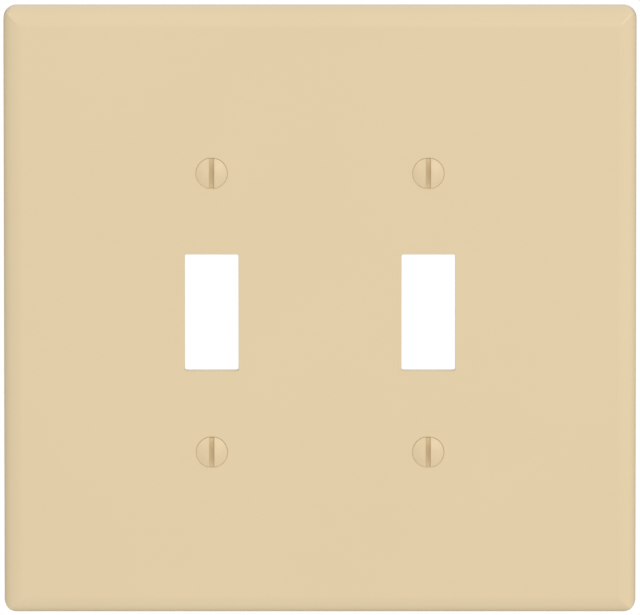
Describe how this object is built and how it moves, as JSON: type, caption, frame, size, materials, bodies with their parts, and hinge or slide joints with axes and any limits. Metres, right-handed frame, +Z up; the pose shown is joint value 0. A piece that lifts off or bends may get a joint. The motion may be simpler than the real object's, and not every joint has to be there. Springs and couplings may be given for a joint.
{
  "type": "toggle switch wall plate",
  "caption": "Oversized ivory wall plate that covers side-by-side toggle switches, with slots for the levers and countersunk oval-head mounting screws.",
  "frame": {"origin": "middle of the wall plane, where the plate's rear rim rests on the wall", "axes": "+X to the right as seen from the room, +Y into the wall, +Z up; the face looks along -Y"},
  "size_m": [0.1344, 0.0136, 0.1308],
  "materials": {
    "ivory_thermoset": "gloss",
    "ivory_enamelled_steel": "satin"
  },
  "bodies": {
    "plate": {"wall_plate": "ivory_thermoset"},
    "top_left_screw": {"screw_top_left": "ivory_enamelled_steel"},
    "top_right_screw": {"screw_top_right": "ivory_enamelled_steel"},
    "bottom_left_screw": {"screw_bottom_left": "ivory_enamelled_steel"},
    "bottom_right_screw": {"screw_bottom_right": "ivory_enamelled_steel"}
  },
  "joints": [
    {"name": "top_left_screw_out", "type": "slide", "parent": "plate", "child": "top_left_screw", "axis": [0, -1, 0], "range_m": [0, 0.016]},
    {"name": "top_right_screw_out", "type": "slide", "parent": "plate", "child": "top_right_screw", "axis": [0, -1, 0], "range_m": [0, 0.016]},
    {"name": "bottom_left_screw_out", "type": "slide", "parent": "plate", "child": "bottom_left_screw", "axis": [0, -1, 0], "range_m": [0, 0.016]},
    {"name": "bottom_right_screw_out", "type": "slide", "parent": "plate", "child": "bottom_right_screw", "axis": [0, -1, 0], "range_m": [0, 0.016]}
  ]
}
